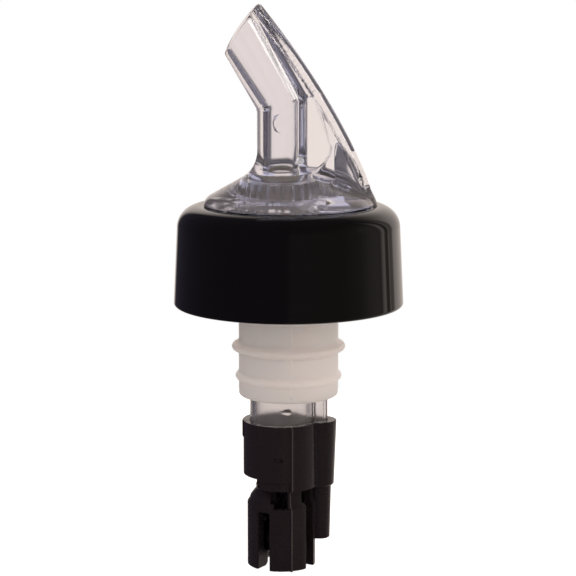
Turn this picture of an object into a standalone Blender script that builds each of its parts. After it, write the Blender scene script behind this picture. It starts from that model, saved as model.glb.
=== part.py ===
"""Measured pour spout for a bottle: clear nozzle, black collar, ribbed stopper, metering barrel and ball cage.

Frame: the origin is on the stopper's axis, at the plane where the bottle's lip meets the stopper's flange.
+Z points up out of the bottle, and the nozzle pours towards -X. Lengths are in metres.
"""

from math import cos, pi, radians, sin, sqrt, tan

import bmesh
import bpy
from mathutils import Matrix, Vector

MM = 0.001
GAP = 0.3 * MM  # clearance between neighbouring pieces
SEGMENTS = 48  # sides of a large round shape
SMALL_SEGMENTS = 24  # sides of a thin tube or a small ball

# The two parallel pipes that run down the part
PIPE_X = -1.3 * MM
BREATHER_X = 5.5 * MM

# Balls
BALL_RADIUS = 3.97 * MM
BREATHER_BALL_RADIUS = 1.0 * MM
BALL_PLAY = 0.05 * MM

# Spout
DOME_BASE = 4.2 * MM
DOME_RADIUS = 15.5 * MM
DOME_SLOPE = radians(26.5)
DOME_FOOT = 10.6 * MM  # height where the dome's slope would meet the nozzle's side
DOME_FILLET = 5.5 * MM
DOME_EDGE = 1.6 * MM  # radius of the rounding at the dome's rim
NOZZLE_RADIUS = 4.3 * MM
BORE_RADIUS = 2.45 * MM
MOUTH_BORE_RADIUS = 3.2 * MM
BEND_Z = 22.2 * MM
BEND_LAP = 0.05 * MM
NOZZLE_LEAN = radians(30)
MITRE = tan(NOZZLE_LEAN / 2)  # times a pipe's radius, how far it runs past the bend to meet the other one
MOUTH_LIP = Vector((-11.4, 0, 31.0)) * MM
MOUTH_ANGLE = radians(56)
FIN_HALF = 2.2 * MM  # half the fin's thickness
FIN_TIP = Vector((-4.9, 39.7)) * MM
FIN_PULL = Vector((10.2, 20.8)) * MM  # the point that the fin's curved back bends towards
FIN_BASE = Vector((15.65, 4.5)) * MM
WEB_HALF = 0.4 * MM  # half the thickness of the clear wall left in the fin's window
WINDOW_LEFT = 3.15 * MM
WINDOW_RIGHT = 7.5 * MM
WINDOW_BOTTOM = 10.6 * MM
WINDOW_BELLY = 14.0 * MM  # height of the window's widest point
WINDOW_TOP = 23.4 * MM
WINDOW_SOFT = 0.9 * MM  # size of the rounding at the window's top
CHAMBER_HALF = 1.2 * MM
CHAMBER = ((6.5, 3.6), (13.4, 3.6), (12.7, 9.0), (11.3, 12.0), (8.6, 15.3), (8.2, 14.0), (8.2, 6.0), (6.5, 6.0))  # mm
BOSS_RADIUS = 8.5 * MM
BOSS_BOTTOM = 2.0 * MM
SOCKET_TOP = 7.2 * MM
VENT_RADIUS = 0.6 * MM
VENT_Z = 7.0 * MM

# Valve seat
SEAT_OUTER = 4.6 * MM
SEAT_BORE = 2.9 * MM
SEAT_BOTTOM = 7.4 * MM
SEAT_EDGE_Z = 8.0 * MM
SEAT_TOP = 9.1 * MM

# Collar
COLLAR_TOP = 4.1 * MM
COLLAR_HOLE = BOSS_RADIUS + GAP
COLLAR_FLAT = 15.9 * MM
COLLAR_SHOULDER_Z = 0.2 * MM
COLLAR_SHOULDER_RADIUS = 20.0 * MM
COLLAR_RADIUS = 20.67 * MM
COLLAR_BOTTOM = -13.95 * MM
COLLAR_LIP = 0.6 * MM
COLLAR_WALL = 1.6 * MM
COLLAR_CEILING = 2.0 * MM

# Stopper
FLANGE_RADIUS = 13.5 * MM
FLANGE_TOP = 1.7 * MM
STOPPER_NECK_RADIUS = 9.25 * MM
STOPPER_STEP_Z = -16.4 * MM
STOPPER_RADIUS = 9.0 * MM
STOPPER_BOTTOM = -30.5 * MM
FINS = ((-21.5 * MM, 10.25 * MM, 1.15 * MM), (-26.9 * MM, 9.6 * MM, 1.1 * MM))  # height, radius, half width

# Metering barrel
BARREL_RADIUS = 5.7 * MM
BARREL_BORE = 4.7 * MM
BARREL_TOP = 7.1 * MM
BARREL_BOTTOM = -44.5 * MM
BREATHER_RADIUS = 1.6 * MM
BREATHER_BORE = 0.85 * MM
BREATHER_TOP = 5.5 * MM

# Tail cage
SLEEVE_TOP = -35.2 * MM
SLEEVE_BOTTOM = -47.2 * MM
SLEEVE_RADIUS = 6.95 * MM
LOBE_RADIUS = 3.25 * MM
LOBE_FOOT_RADIUS = 2.8 * MM
CUP_RIM_Z = -49.7 * MM
CUP_RIM_RADIUS = 5.75 * MM
CUP_EDGE_Z = -50.5 * MM
CAGE_RADIUS = 6.25 * MM
CAGE_BORE = 4.2 * MM
CAGE_BOTTOM = -62.2 * MM
HOOK_TOP = -58.4 * MM
HOOK_EDGE_Z = -59.6 * MM
HOOK_RADIUS = 2.95 * MM
SLOT_WIDTH = 2.35 * MM
SLOTS = ((-32, -51.4), (58, -47.2), (130, -54), (194, -54))  # degrees from -Y towards +X, and the top in mm
PORTS = ((-123.5, 12), (40, 60))  # degrees from -Y towards +X, from one pillar to the next
RAMP = (-130, -21)  # where the large port's floor slopes up inwards
RAMP_EDGE = Vector((6.2, -49.9)) * MM  # the sloping floor's outer edge
RAMP_SLOPE = 1.28
NOTCH = (-125, -38)  # where the sleeve's lower edge is raised over the large port
NOTCH_Z = -45.15 * MM
PANEL = (-39, 13)  # the front of the sleeve, which steps in a little above the port
PANEL_TOP = -45.6 * MM
PANEL_STEP = 0.25 * MM
RIM_NOTCH = (-14, 11)  # where the cup's rim dips
RIM_NOTCH_Z = -50.6 * MM
RIB_AZIMUTH = 16.5
RIB_WIDTH = 0.8 * MM
RIB_HEIGHT = 0.2 * MM
TAIL_X = 5.7 * MM
TAIL_TOP_RADIUS = 2.1 * MM
TAIL_BOTTOM_RADIUS = 1.85 * MM
TAIL_BOTTOM = -57.3 * MM
TAIL_BORE = 1.25 * MM
TAIL_LIP_RADIUS = 0.7 * MM
TAIL_LIP_Z = -56.6 * MM


def reach(ball_radius, hole_radius):
    """How far a ball's centre stands from the edge of a round hole that it rests in."""
    return sqrt(ball_radius**2 - hole_radius**2)


CONTROL_BALL_Z = HOOK_EDGE_Z + reach(BALL_RADIUS, HOOK_RADIUS) + BALL_PLAY
BREATHER_BALL_Z = TAIL_LIP_Z + reach(BREATHER_BALL_RADIUS, TAIL_LIP_RADIUS) + BALL_PLAY


# Scene and materials


def clear_scene():
    for thing in list(bpy.data.objects):
        bpy.data.objects.remove(thing)


def collection(name, helper=False):
    made = bpy.data.collections.new(name)
    bpy.context.scene.collection.children.link(made)
    made.hide_render = helper
    return made


def material(name, colour, roughness, metallic=0.0, alpha=1.0):
    made = bpy.data.materials.new(name)
    made.use_nodes = True
    surface = made.node_tree.nodes["Principled BSDF"]
    surface.inputs["Base Color"].default_value = (*colour, 1)
    surface.inputs["Roughness"].default_value = roughness
    surface.inputs["Metallic"].default_value = metallic
    surface.inputs["Alpha"].default_value = alpha
    made.diffuse_color = (*colour, alpha)
    return made


def finish(obj, name, parts, look):
    """Makes an object a named part with its material."""
    obj.name = name
    obj.data.name = name
    for home in obj.users_collection:
        home.objects.unlink(obj)
    parts.objects.link(obj)
    obj.hide_render = False
    obj.display_type = "TEXTURED"
    obj.data.materials.clear()
    obj.data.materials.append(look)
    obj.data.shade_smooth()
    obj.data.set_sharp_from_angle(angle=radians(30))
    return obj


# Shapes. Each one starts as a helper in the cutters' collection


def helper(name, mesh, x=0.0):
    made = bpy.data.objects.new(name, mesh)
    bpy.data.collections["cutters"].objects.link(made)
    made.location.x = x
    made.hide_render = True
    made.display_type = "WIRE"
    return made


def turned(name, profile, x=0.0, segments=SEGMENTS):
    """A profile of (radius, height) points, closed on itself, turned about the vertical line at x."""
    mesh = bpy.data.meshes.new(name)
    edges = [(i, (i + 1) % len(profile)) for i in range(len(profile))]
    mesh.from_pydata([(radius, 0, z) for radius, z in profile], edges, [])
    made = helper(name, mesh, x)
    screw = made.modifiers.new("turn", "SCREW")
    screw.steps = segments
    screw.render_steps = segments
    screw.use_merge_vertices = True
    screw.merge_threshold = 1e-6
    return made


def rod(name, radius, bottom, top, x=0.0, segments=SEGMENTS, top_radius=None):
    """A closed cylinder or cone along Z."""
    shape = bmesh.new()
    bmesh.ops.create_cone(
        shape,
        cap_ends=True,
        segments=segments,
        radius1=radius,
        radius2=radius if top_radius is None else top_radius,
        depth=top - bottom,
        matrix=Matrix.Translation((0, 0, (top + bottom) / 2)),
    )
    mesh = bpy.data.meshes.new(name)
    shape.to_mesh(mesh)
    shape.free()
    return helper(name, mesh, x)


def ball(name, radius, segments=SEGMENTS):
    shape = bmesh.new()
    bmesh.ops.create_uvsphere(shape, u_segments=segments, v_segments=segments // 2, radius=radius)
    mesh = bpy.data.meshes.new(name)
    shape.to_mesh(mesh)
    shape.free()
    return helper(name, mesh)


def block(name, size, centre):
    shape = bmesh.new()
    bmesh.ops.create_cube(shape, size=1, matrix=Matrix.Translation(centre) @ Matrix.Diagonal((*size, 1)))
    mesh = bpy.data.meshes.new(name)
    shape.to_mesh(mesh)
    shape.free()
    return helper(name, mesh)


def plate(name, half, knots, resolution=12):
    """A flat outline in the XZ plane with thickness along Y.

    Each knot is (point, handle before it, handle after it), and None makes that side straight.
    """
    curve = bpy.data.curves.new(name, "CURVE")
    curve.dimensions = "2D"
    curve.fill_mode = "BOTH"
    curve.extrude = half
    curve.resolution_u = resolution
    spline = curve.splines.new("BEZIER")
    spline.bezier_points.add(len(knots) - 1)
    for place, (point, before, after) in zip(spline.bezier_points, knots):
        place.handle_left_type = "FREE" if before else "VECTOR"
        place.handle_right_type = "FREE" if after else "VECTOR"
        place.co = (*point, 0)
        place.handle_left = (*(before or point), 0)
        place.handle_right = (*(after or point), 0)
    spline.use_cyclic_u = True
    drawn = bpy.data.objects.new(name, curve)
    bpy.context.scene.collection.objects.link(drawn)
    graph = bpy.context.evaluated_depsgraph_get()
    mesh = bpy.data.meshes.new_from_object(drawn.evaluated_get(graph))
    bpy.data.objects.remove(drawn)
    shape = bmesh.new()
    shape.from_mesh(mesh)
    bmesh.ops.remove_doubles(shape, verts=shape.verts, dist=1e-6)
    bmesh.ops.rotate(shape, verts=shape.verts, matrix=Matrix.Rotation(pi / 2, 3, "X"))
    bmesh.ops.recalc_face_normals(shape, faces=shape.faces)
    shape.to_mesh(mesh)
    shape.free()
    return helper(name, mesh)


def sector(name, start, stop, radius, bottom, top, x, segments=8):
    """A wedge about the vertical line at x, between two azimuths in degrees from -Y towards +X."""
    shape = bmesh.new()
    corners = [(0.0, 0.0)]
    for step in range(segments + 1):
        azimuth = radians(start + (stop - start) * step / segments)
        corners.append((radius * sin(azimuth), -radius * cos(azimuth)))
    floor = [shape.verts.new((px, py, bottom)) for px, py in corners]
    base = shape.faces.new(floor)
    grown = bmesh.ops.extrude_face_region(shape, geom=[base])
    raised = [v for v in grown["geom"] if isinstance(v, bmesh.types.BMVert)]
    bmesh.ops.translate(shape, verts=raised, vec=(0, 0, top - bottom))
    bmesh.ops.recalc_face_normals(shape, faces=shape.faces)
    mesh = bpy.data.meshes.new(name)
    shape.to_mesh(mesh)
    shape.free()
    return helper(name, mesh, x)


def combine(target, other, operation):
    change = target.modifiers.new(other.name, "BOOLEAN")
    change.operation = operation
    change.object = other
    change.solver = "EXACT"
    return target


def cut(target, *cutters):
    for cutter in cutters:
        combine(target, cutter, "DIFFERENCE")
    return target


def join(target, *others):
    for other in others:
        combine(target, other, "UNION")
    return target


def arc(centre, radius, start, stop, steps, height=None):
    """Points on an arc, or on an ellipse when height is given, from one angle to another in degrees."""
    height = radius if height is None else height
    turns = [radians(start + (stop - start) * i / steps) for i in range(steps + 1)]
    return [(centre[0] + radius * cos(a), centre[1] + height * sin(a)) for a in turns]


# Spout


def dome_profile():
    """Radius and height down the nozzle's side, over the fillet, down the dome and round its rim."""
    sweep = pi / 2 - DOME_SLOPE
    reach_up = DOME_FILLET * tan(sweep / 2)
    fillet_centre = (NOZZLE_RADIUS + DOME_FILLET, DOME_FOOT + reach_up)
    fillet = arc(fillet_centre, DOME_FILLET, 180, 180 + sweep * 180 / pi, 6)
    rim_centre = (DOME_RADIUS - DOME_EDGE, DOME_BASE + 0.5 * MM)
    rim = arc(rim_centre, DOME_EDGE, 90 - DOME_SLOPE * 180 / pi, 0, 3)
    top = BEND_Z + NOZZLE_RADIUS * MITRE + BEND_LAP
    return [(0, top), (NOZZLE_RADIUS, top)] + fillet + rim + [(DOME_RADIUS, DOME_BASE), (0, DOME_BASE)]


def dome():
    """The nozzle's upright part and the dome, whose rings move from the pipe's axis to the dome's as they widen."""
    made = turned("dome", dome_profile())
    graph = bpy.context.evaluated_depsgraph_get()
    mesh = bpy.data.meshes.new_from_object(made.evaluated_get(graph))
    for vertex in mesh.vertices:
        radius = max(sqrt(vertex.co.x**2 + vertex.co.y**2), NOZZLE_RADIUS)
        vertex.co.x += PIPE_X * (DOME_RADIUS - radius) / (DOME_RADIUS - NOZZLE_RADIUS)
    bpy.data.objects.remove(made)
    return helper("dome", mesh)


def lean(obj):
    """Turns a shape that stands on the bend so that it follows the leaning nozzle."""
    obj.location = (PIPE_X, 0, BEND_Z)
    obj.rotation_euler = (0, -NOZZLE_LEAN, 0)
    return obj


def fin():
    """The fin behind the nozzle: a curved back, and a front edge buried in the nozzle."""
    top = FIN_TIP + (FIN_PULL - FIN_TIP) * 2 / 3
    low = FIN_BASE + (FIN_PULL - FIN_BASE) * 2 / 3
    bend = Vector((PIPE_X, BEND_Z))
    mouth = bend + Vector((-sin(NOZZLE_LEAN), cos(NOZZLE_LEAN))) * 22 * MM
    foot = Vector((PIPE_X, DOME_BASE + MM))
    foot_end = Vector((FIN_BASE.x, DOME_BASE + 0.15 * MM))
    knots = [
        (mouth, None, None),
        (FIN_TIP, None, top),
        (FIN_BASE, low, None),
        (foot_end, None, None),
        (foot, None, None),
        (bend, None, None),
    ]
    return plate("fin", FIN_HALF, knots)


def windows():
    """A teardrop sunk into each side of the fin: upright along the nozzle, sloping along the back, round below."""
    left, right, bottom, top, soft = WINDOW_LEFT, WINDOW_RIGHT, WINDOW_BOTTOM, WINDOW_TOP, WINDOW_SOFT
    knots = [
        (Vector((left, bottom + 1.2 * MM)), Vector((left, bottom + 0.4 * MM)), None),
        (Vector((left, top - soft)), None, Vector((left, top - 0.3 * MM))),
        (Vector((left + soft, top)), Vector((left + 0.3 * MM, top)), Vector((left + 1.6 * soft, top - 0.1 * MM))),
        (Vector((6.4 * MM, 17.9 * MM)), Vector((5.5 * MM, 20.4 * MM)), Vector((6.9 * MM, 16.5 * MM))),
        (Vector((right, WINDOW_BELLY)), Vector((right, 15.2 * MM)), Vector((right, 12.4 * MM))),
        (Vector((left + 0.8 * MM, bottom)), Vector((5.6 * MM, bottom)), Vector((left + 0.3 * MM, bottom))),
    ]
    cutters = []
    for side in (-1, 1):
        cutter = plate(f"window_{side}", FIN_HALF, knots, 8)
        cutter.location.y = side * (WEB_HALF + FIN_HALF)
        cutters.append(cutter)
    return cutters


def mouth_cutter():
    """A large block whose face is the nozzle's mouth."""
    side = 30 * MM
    made = block("mouth_cutter", (side, side, side), (-side / 2, 0, 0))
    made.location = MOUTH_LIP
    made.rotation_euler = (0, pi / 2 - MOUTH_ANGLE, 0)
    return made


def air_chamber():
    """The leaf-shaped hollow in the fin's root, joined at its foot to the breather tube's socket."""
    return plate("air_chamber", CHAMBER_HALF, [(Vector(corner) * MM, None, None) for corner in CHAMBER])


def spout_nozzle():
    length = 26 * MM
    nozzle = lean(rod("nozzle", NOZZLE_RADIUS, -NOZZLE_RADIUS * MITRE, length))
    boss = rod("boss", BOSS_RADIUS, BOSS_BOTTOM, DOME_BASE + MM)
    spout = join(dome(), nozzle, fin(), boss)
    grow = (MOUTH_BORE_RADIUS - BORE_RADIUS) / (15 * MM)
    past = BORE_RADIUS * MITRE
    upper_bore = lean(rod("upper_bore", BORE_RADIUS, -past, length, top_radius=BORE_RADIUS + grow * length))
    bore = rod("bore", BORE_RADIUS, BOSS_BOTTOM - MM, BEND_Z + past + BEND_LAP, PIPE_X)
    pocket = rod("seat_pocket", SEAT_OUTER + GAP, BOSS_BOTTOM - MM, SEAT_TOP + GAP, PIPE_X)
    socket = rod("barrel_socket", BARREL_RADIUS + GAP, BOSS_BOTTOM - 2 * MM, SOCKET_TOP, PIPE_X)
    breather = rod("breather_socket", BREATHER_RADIUS + GAP, BOSS_BOTTOM - MM, SOCKET_TOP, BREATHER_X, SMALL_SEGMENTS)
    vent = rod("vent", VENT_RADIUS, 0, 8 * MM, segments=SMALL_SEGMENTS // 2)
    vent.location = (10 * MM, 0, VENT_Z)
    vent.rotation_euler.y = pi / 2
    return cut(
        spout,
        mouth_cutter(),
        *windows(),
        bore,
        upper_bore,
        air_chamber(),
        socket,
        pocket,
        breather,
        vent,
    )


def valve_seat():
    chamfer = SEAT_EDGE_Z - SEAT_BOTTOM
    profile = [
        (SEAT_BORE, SEAT_TOP),
        (SEAT_OUTER, SEAT_TOP),
        (SEAT_OUTER, SEAT_BOTTOM),
        (SEAT_BORE + chamfer, SEAT_BOTTOM),
        (SEAT_BORE, SEAT_EDGE_Z),
    ]
    return turned("valve_seat", profile, PIPE_X, 32)


# Collar and stopper


def collar():
    shoulder_centre = (COLLAR_FLAT, COLLAR_SHOULDER_Z)
    run = COLLAR_SHOULDER_RADIUS - COLLAR_FLAT
    rise = COLLAR_TOP - COLLAR_SHOULDER_Z
    outer = arc(shoulder_centre, run, 90, 0, 8, rise)
    lip_centre = (COLLAR_RADIUS - COLLAR_LIP, COLLAR_BOTTOM + COLLAR_LIP)
    lip = arc(lip_centre, COLLAR_LIP, 0, -90, 3)
    inside_run = run - COLLAR_WALL / 2
    inside_rise = COLLAR_CEILING - COLLAR_SHOULDER_Z
    inner = arc((COLLAR_FLAT - COLLAR_WALL / 2, COLLAR_SHOULDER_Z), inside_run, 0, 90, 5, inside_rise)
    profile = (
        [(COLLAR_HOLE, COLLAR_TOP)]
        + outer
        + lip
        + [(COLLAR_RADIUS - COLLAR_WALL, COLLAR_BOTTOM)]
        + inner
        + [(COLLAR_HOLE, COLLAR_CEILING)]
    )
    return turned("collar", profile, segments=64)


def stopper():
    """Flange, body and two soft fins, with one bore for the barrel and its breather tube."""
    outline = [(0, FLANGE_TOP), (FLANGE_RADIUS, FLANGE_TOP), (FLANGE_RADIUS, 0), (STOPPER_NECK_RADIUS, 0)]
    outline += [(STOPPER_NECK_RADIUS, STOPPER_STEP_Z), (STOPPER_RADIUS, STOPPER_STEP_Z - 0.1 * MM)]
    for height, radius, half in FINS:
        nose = 0.5 * MM
        outline.append((STOPPER_RADIUS, height + half))
        outline += arc((radius - nose, height), nose, 70, -70, 4)
        outline.append((STOPPER_RADIUS, height - half))
    chamfer = 0.6 * MM
    outline += [(STOPPER_RADIUS, STOPPER_BOTTOM + chamfer), (STOPPER_RADIUS - chamfer, STOPPER_BOTTOM)]
    outline.append((0, STOPPER_BOTTOM))
    body = turned("stopper", outline)
    above, below = FLANGE_TOP + MM, STOPPER_BOTTOM - MM
    barrel_bore = rod("stopper_barrel_bore", BARREL_RADIUS + GAP, below, above, PIPE_X)
    tube_bore = rod("stopper_tube_bore", BREATHER_RADIUS + GAP, below - MM, above + MM, BREATHER_X, SMALL_SEGMENTS)
    return cut(body, barrel_bore, tube_bore)


# Metering barrel


def metering_barrel():
    barrel = rod("barrel", BARREL_RADIUS, BARREL_BOTTOM, BARREL_TOP, PIPE_X)
    tube = rod("tube", BREATHER_RADIUS, BARREL_BOTTOM, BREATHER_TOP, BREATHER_X, SMALL_SEGMENTS)
    above, below = BARREL_TOP + MM, BARREL_BOTTOM - MM
    bore = rod("barrel_bore", BARREL_BORE, below, above, PIPE_X)
    tube_bore = rod("tube_bore", BREATHER_BORE, below, above, BREATHER_X, 16)
    return cut(join(barrel, tube), bore, tube_bore)


# Tail cage


def cage_body():
    """Sleeve, neck, cup and fingers as one solid of revolution."""
    neck = SLEEVE_RADIUS - 1.3 * MM
    profile = [
        (0, SLEEVE_TOP),
        (SLEEVE_RADIUS - 0.3 * MM, SLEEVE_TOP),
        (SLEEVE_RADIUS, SLEEVE_TOP - 0.3 * MM),
        (SLEEVE_RADIUS, SLEEVE_BOTTOM),
        (neck, SLEEVE_BOTTOM),
        (CUP_RIM_RADIUS, CUP_RIM_Z),
        (CAGE_RADIUS, CUP_EDGE_Z),
        (CAGE_RADIUS, CAGE_BOTTOM),
        (0, CAGE_BOTTOM),
    ]
    return turned("cage_body", profile, PIPE_X)


def cage_bore():
    """The space for the balls, narrowing to the hooks at the fingers' ends."""
    profile = [
        (0, SLEEVE_TOP + MM),
        (BARREL_RADIUS + GAP, SLEEVE_TOP + MM),
        (BARREL_RADIUS + GAP, BARREL_BOTTOM - GAP),
        (CAGE_BORE, BARREL_BOTTOM - 2 * GAP),
        (CAGE_BORE, HOOK_TOP),
        (HOOK_RADIUS, HOOK_EDGE_Z),
        (HOOK_RADIUS, CAGE_BOTTOM + 0.6 * MM),
        (HOOK_RADIUS + 1.6 * MM, CAGE_BOTTOM - MM),
        (0, CAGE_BOTTOM - MM),
    ]
    return turned("cage_bore", profile, PIPE_X)


def breather_tail():
    """The lobe beside the sleeve and the thin tail that hangs from it."""
    lobe = rod("lobe", LOBE_FOOT_RADIUS, SLEEVE_BOTTOM, SLEEVE_TOP, BREATHER_X, 32, LOBE_RADIUS)
    depth = 2 * MM
    tail = rod("tail", TAIL_BOTTOM_RADIUS, TAIL_BOTTOM, SLEEVE_BOTTOM + depth, TAIL_X, 32, TAIL_TOP_RADIUS)
    return join(lobe, tail)


def slots():
    cutters = []
    for azimuth, top in SLOTS:
        height = top * MM - CAGE_BOTTOM + MM
        out = 8 * MM
        slot = block(f"slot_{azimuth}", (SLOT_WIDTH, out, height), (0, -out / 2, top * MM - height / 2))
        slot.location.x = PIPE_X
        slot.rotation_euler.z = radians(azimuth)
        cutters.append(slot)
    return cutters


def ramp():
    """The large port's sloping floor: a cone about the cage's axis, kept only over part of the port."""
    inner = CAGE_BORE - MM
    profile = [
        (inner, RAMP_EDGE.y - MM),
        (inner, RAMP_EDGE.y + (RAMP_EDGE.x - inner) * RAMP_SLOPE),
        (RAMP_EDGE.x, RAMP_EDGE.y),
        (RAMP_EDGE.x, RAMP_EDGE.y - MM),
    ]
    cone = turned("ramp", profile, PIPE_X)
    return combine(cone, sector("ramp_sector", *RAMP, 9 * MM, CAGE_BOTTOM, SLEEVE_TOP, PIPE_X), "INTERSECT")


def ribs():
    """The fine upright rib on the sleeve, which goes on as a ridge down the front finger."""
    made = []
    for radius, width, top, bottom in (
        (SLEEVE_RADIUS, RIB_WIDTH, SLEEVE_TOP - 0.4 * MM, SLEEVE_BOTTOM),
        (CAGE_RADIUS, RIB_WIDTH / 2, SLEEVE_BOTTOM, CAGE_BOTTOM),
    ):
        depth = 2 * MM
        proud = RIB_HEIGHT if radius == SLEEVE_RADIUS else RIB_HEIGHT / 2
        centre = (0, -radius - proud + depth / 2, (top + bottom) / 2)
        rib = block("rib", (width, depth, top - bottom), centre)
        rib.location.x = PIPE_X
        rib.rotation_euler.z = radians(RIB_AZIMUTH)
        made.append(rib)
    return made


def tail_cage():
    wide = 9 * MM
    ports = [sector(f"port_{a}", a, b, wide, CUP_RIM_Z, SLEEVE_BOTTOM, PIPE_X) for a, b in PORTS]
    notch = sector("notch", *NOTCH, wide, SLEEVE_BOTTOM - 0.5 * MM, NOTCH_Z, PIPE_X)
    dip = sector("rim_notch", *RIM_NOTCH, wide, RIM_NOTCH_Z, CUP_RIM_Z + 0.5 * MM, PIPE_X)
    panel = sector("panel", *PANEL, wide, SLEEVE_BOTTOM - MM, PANEL_TOP, PIPE_X)
    cut(panel, rod("panel_face", SLEEVE_RADIUS - PANEL_STEP, SLEEVE_BOTTOM - 2 * MM, SLEEVE_TOP, PIPE_X))
    body = cut(cage_body(), panel)
    body = join(body, *ribs())
    body = cut(body, *slots(), *ports, notch, dip)
    body = join(body, ramp(), breather_tail())
    tube_socket = rod("tube_socket", BREATHER_RADIUS + GAP, BARREL_BOTTOM - GAP, SLEEVE_TOP + MM, BREATHER_X, 24)
    tail_bore = rod("tail_bore", TAIL_BORE, TAIL_LIP_Z, BARREL_BOTTOM, BREATHER_X, SMALL_SEGMENTS)
    tail_lip = rod("tail_lip", TAIL_LIP_RADIUS, TAIL_BOTTOM - MM, TAIL_LIP_Z + MM, BREATHER_X, 16)
    return cut(body, cage_bore(), tube_socket, tail_bore, tail_lip)


def steel_ball(name, radius, x, z, segments):
    """A ball, with its origin at its centre."""
    made = ball(name, radius, segments)
    made.location = (x, 0, z)
    return made


def main():
    clear_scene()
    parts = collection("pour_spout")
    collection("cutters", helper=True)
    clear = material("clear_acrylic", (0.86, 0.83, 0.80), 0.05, alpha=0.35)
    barrel_clear = material("barrel_acrylic", (0.84, 0.82, 0.81), 0.08, alpha=0.4)
    pale = material("seat_nylon", (0.85, 0.80, 0.62), 0.45)
    black = material("collar_black", (0.012, 0.011, 0.011), 0.2)
    milky = material("stopper_polythene", (0.72, 0.68, 0.66), 0.4)
    dark = material("tail_black", (0.035, 0.025, 0.028), 0.35)
    steel = material("ball_steel", (0.62, 0.62, 0.63), 0.12, metallic=1.0)
    finish(spout_nozzle(), "spout_nozzle", parts, clear)
    finish(valve_seat(), "valve_seat", parts, pale)
    finish(collar(), "collar", parts, black)
    finish(stopper(), "stopper", parts, milky)
    finish(metering_barrel(), "metering_barrel", parts, barrel_clear)
    finish(tail_cage(), "tail_cage", parts, dark)
    for name, radius, x, z, segments in (
        ("control_ball", BALL_RADIUS, PIPE_X, CONTROL_BALL_Z, 28),
        ("breather_ball", BREATHER_BALL_RADIUS, BREATHER_X, BREATHER_BALL_Z, 16),
    ):
        finish(steel_ball(name, radius, x, z, segments), name, parts, steel.copy())


main()
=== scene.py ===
"""Looks of the measured pour spout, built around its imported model.

A moulded piece is written as a distance field in millimetres, negative inside, and the field's zero level
becomes its mesh. Directions follow the frame: +Z points up out of the bottle, and the nozzle pours
towards -X.
"""

import itertools
from math import cos, pi, radians, sin, sqrt, tan

import bmesh
import bpy
import numpy as np
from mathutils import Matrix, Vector


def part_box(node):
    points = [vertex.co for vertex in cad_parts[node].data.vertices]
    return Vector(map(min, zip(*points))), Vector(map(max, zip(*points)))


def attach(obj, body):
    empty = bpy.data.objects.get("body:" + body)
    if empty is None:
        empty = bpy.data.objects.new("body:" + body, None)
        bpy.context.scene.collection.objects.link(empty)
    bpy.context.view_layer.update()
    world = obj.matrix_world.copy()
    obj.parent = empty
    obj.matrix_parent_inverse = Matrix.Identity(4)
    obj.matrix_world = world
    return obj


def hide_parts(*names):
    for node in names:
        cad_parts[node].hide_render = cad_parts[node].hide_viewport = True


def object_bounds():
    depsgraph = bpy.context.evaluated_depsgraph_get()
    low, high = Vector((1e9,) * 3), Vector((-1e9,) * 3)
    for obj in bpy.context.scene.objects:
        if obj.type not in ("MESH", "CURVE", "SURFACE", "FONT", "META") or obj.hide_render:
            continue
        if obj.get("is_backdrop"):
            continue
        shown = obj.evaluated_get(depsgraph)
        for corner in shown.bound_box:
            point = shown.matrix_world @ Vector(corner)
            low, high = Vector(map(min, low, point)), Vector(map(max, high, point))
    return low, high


MM = 0.001

# All lengths below are in millimetres, with height 0 where the bottle's lip meets the stopper.
PIPE_X = -1.3  # the nozzle's, barrel's and cage's axis
BREATHER_X = 5.5  # the breather tube's axis

NOZZLE_RADIUS = 4.3
BORE_RADIUS = 2.45
BORE_GROWTH = 0.057  # how much the bore's radius grows per millimetre above the bend
BEND_Z = 22.2
BEND_SOFT = 0.15
BEND_RIDGE = 0.12  # height of the fine line round the bend
BEND_RIDGE_HALF = 0.3
NOZZLE_LEAN = radians(30)
MOUTH_LIP = (-11.4, 31.0)
MOUTH_ANGLE = radians(56)
MOUTH_EDGE = 0.3
MOUTH_HALF = 5.2  # half the mouth's length
MOUTH_BULGE = 0.3
MOUTH_SKEW = 0.05  # how far the mouth turns towards the front

DOME_BASE = 4.2
DOME_RADIUS = 15.5
DOME_SLOPE = radians(26.5)
DOME_FOOT = 10.6
DOME_FILLET = 5.5
DOME_EDGE = 1.6
DOME_BASE_EDGE = 0.35
BOSS_RADIUS = 8.5
BOSS_BOTTOM = 2.0

FIN_HALF = 2.2
FIN_EDGE = 1.6
FIN_FILLET = 1.4
FIN_FOOT_FILLET = 2.6
FIN_BOTTOM = DOME_BASE + 0.2
FIN_FOOT = (10.0, 15.0)  # heights between which the fillet narrows
FIN_RIM = (10.5, 13.0)  # and distances from the stopper's axis between which it does so too
FIN_BORDER = 1.9  # width of the thinner border along the fin's back
FIN_SINK = 0.4  # how far that border lies below the fin's sides
FIN_STEP = 0.25  # width of the step between them
FIN_TIP = (-4.9, 39.7)
FIN_PULL = (10.2, 20.8)
FIN_BASE = (15.65, 4.5)
TIP_ROUND = 1.0
WINDOW_ROUND = 0.5
WINDOW_EDGE = 0.5
WINDOW = (
    (3.65, 11.3),
    (3.65, 22.9),
    (4.1, 22.9),
    (5.85, 18.0),
    (7.0, 14.6),
    (6.85, 13.2),
    (6.1, 12.0),
    (5.0, 11.2),
)
WEB_HALF = 0.4  # half the thickness of the thin wall left in the window
CHAMBER = (
    (8.3, 3.8),
    (8.3, 13.6),
    (8.6, 15.0),
    (9.6, 14.4),
    (11.5, 11.8),
    (12.8, 9.0),
    (13.3, 6.5),
    (13.4, 3.8),
)
CHAMBER_ROUND = 0.3
CHAMBER_LEFT = 7.8  # where the chamber's two sides meet in an edge
CHAMBER_TAPER = 0.42  # how fast each side moves out from there
CHAMBER_HALF = 1.5
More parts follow.
